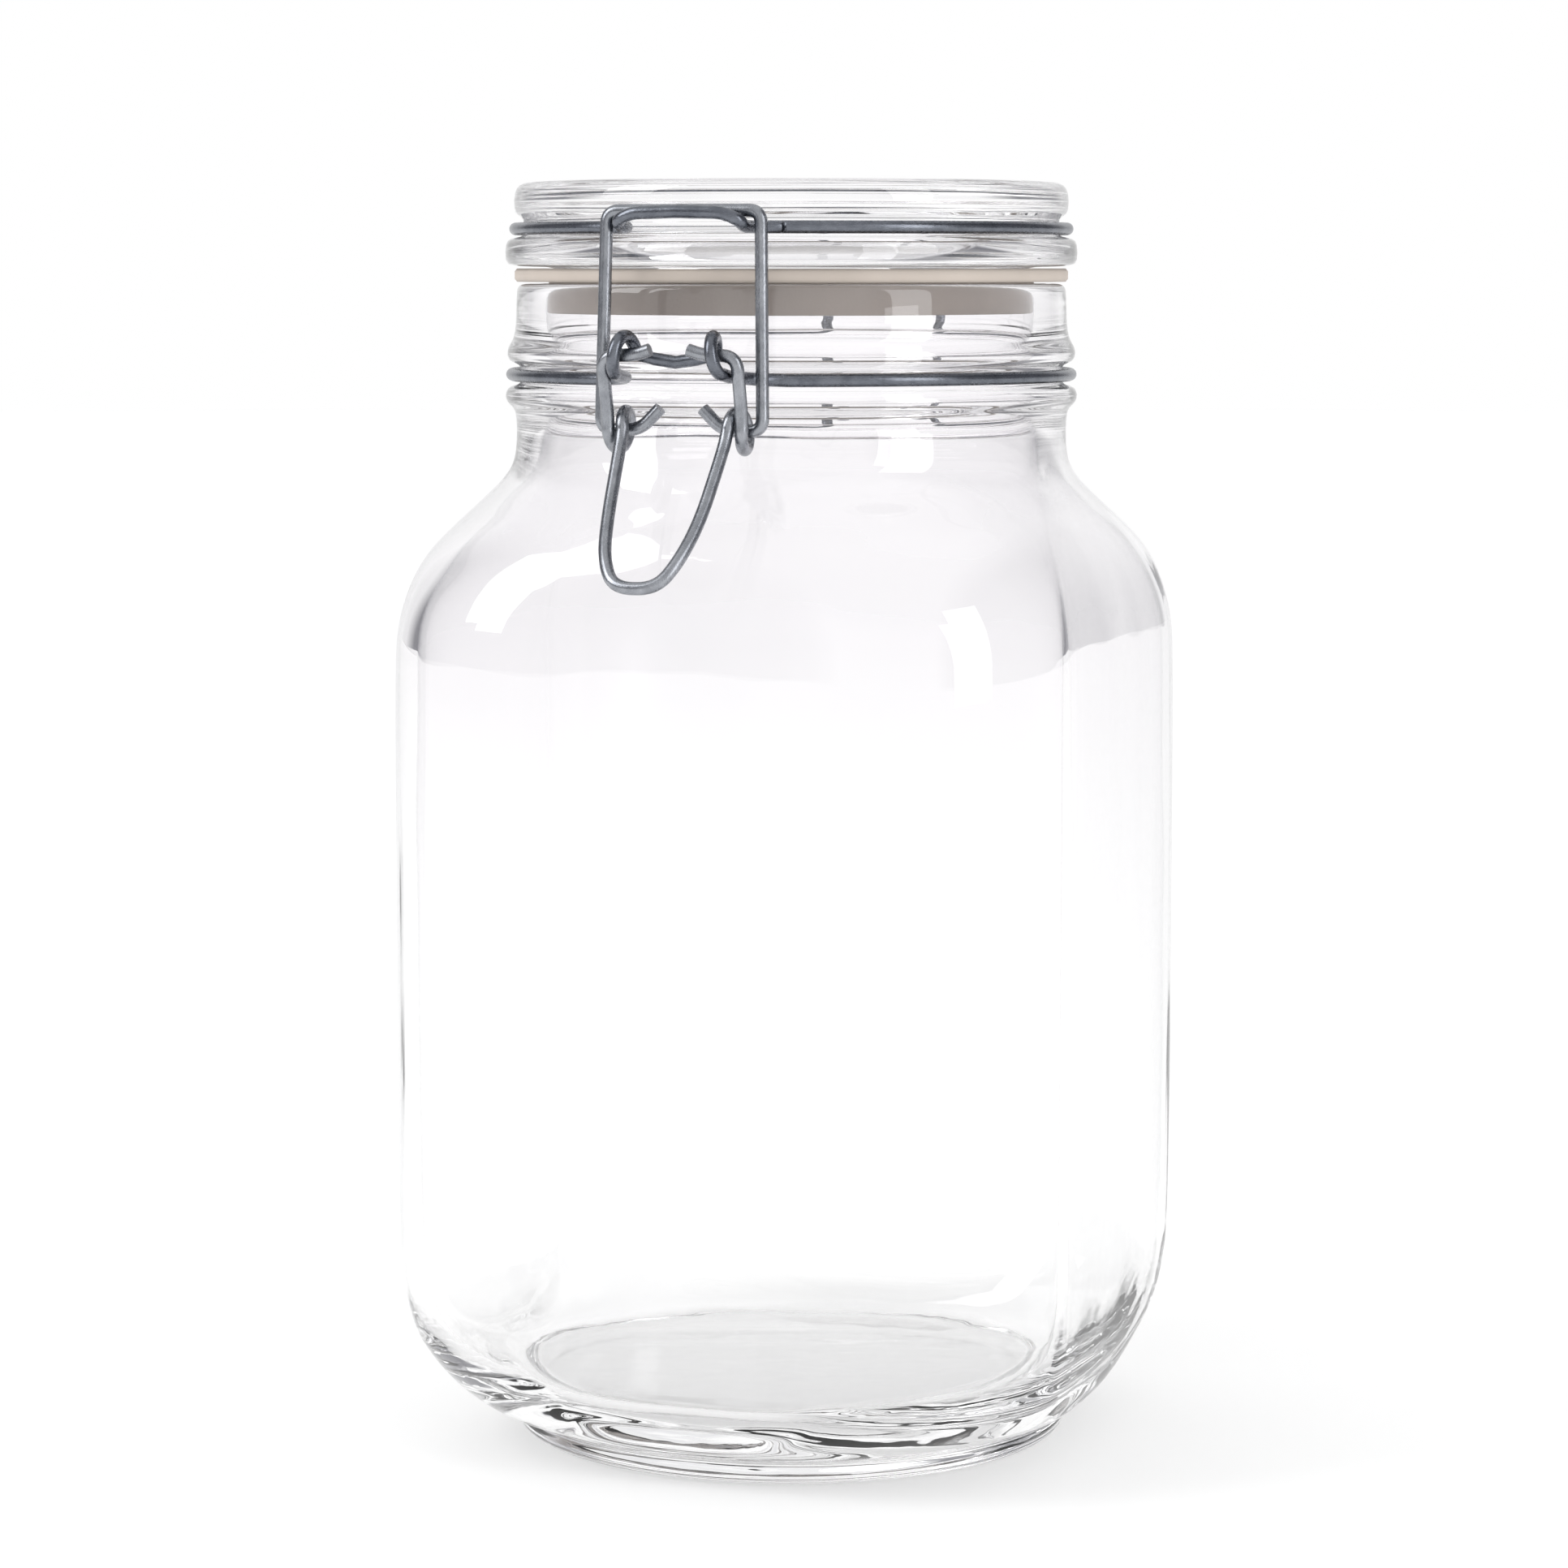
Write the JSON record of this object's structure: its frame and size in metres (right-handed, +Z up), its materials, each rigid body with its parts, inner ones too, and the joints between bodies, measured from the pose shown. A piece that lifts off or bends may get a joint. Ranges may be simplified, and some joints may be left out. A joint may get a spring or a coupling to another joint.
{
  "type": "clip-top glass canister",
  "caption": "Square-bodied glass storage canister with a round neck, hinged glass lid, rubber sealing ring and over-centre wire latch.",
  "frame": {"origin": "centre of the jar's flat foot, on the surface it stands on", "axes": "+Z up along the jar's axis, latch facing -Y, lid hinge at +Y, +X to the right seen from the latch side"},
  "size_m": [0.1238, 0.1377, 0.222],
  "materials": {
    "jar_glass": "clear, smooth",
    "lid_glass": "clear, smooth",
    "gasket": "matt, pale beige",
    "neck_wire": "galvanised",
    "lid_wire": "galvanised",
    "lever": "galvanised",
    "bail": "galvanised"
  },
  "bodies": {
    "jar": {"jar_glass": "jar_glass", "neck_wire": "neck_wire"},
    "lid": {"lid_glass": "lid_glass", "gasket": "gasket", "lid_wire": "lid_wire"},
    "lever": {"lever": "lever"},
    "bail": {"bail": "bail"}
  },
  "joints": [
    {"name": "lid_hinge", "type": "hinge", "parent": "jar", "child": "lid", "pos_m": [0, 0.057, 0.203], "axis": [-1, 0, 0], "range_deg": [0, 115]},
    {"name": "lever_swing", "type": "hinge", "parent": "jar", "child": "lever", "pos_m": [0, -0.059, 0.1927], "axis": [-1, 0, 0], "range_deg": [0, 120]},
    {"name": "bail_swing", "type": "hinge", "parent": "lever", "child": "bail", "pos_m": [0, -0.0534, 0.1802], "axis": [-1, 0, 0], "range_deg": [-290, 0]}
  ],
  "couplings": [
    {"joint": "bail_swing", "follows": "lever_swing", "ratio": -2.4}
  ]
}
